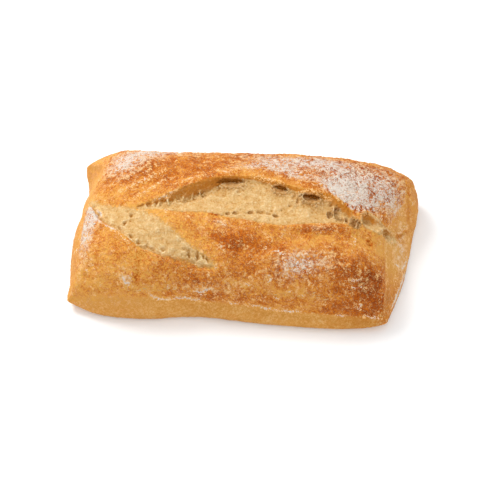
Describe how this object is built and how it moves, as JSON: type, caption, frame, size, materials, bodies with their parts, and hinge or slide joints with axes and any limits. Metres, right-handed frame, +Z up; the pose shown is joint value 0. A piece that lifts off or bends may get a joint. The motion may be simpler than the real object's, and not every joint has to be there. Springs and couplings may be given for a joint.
{
  "type": "ciabatta",
  "caption": "Small oven-baked ciabatta loaf: a flat-based pillow of bread with a floured top skin torn open along its length.",
  "frame": {"origin": "centre of the loaf's footprint, on the surface that it stands on", "axes": "+X along the loaf, +Y from its front long side to its back, +Z up"},
  "size_m": [0.178, 0.0994, 0.0416],
  "materials": {
    "crust": "matte golden-brown bread crust, granular, with white flour, cream crumb in the tears and paler cut sides"
  },
  "bodies": {
    "root": {"loaf": "crust"}
  },
  "joints": []
}
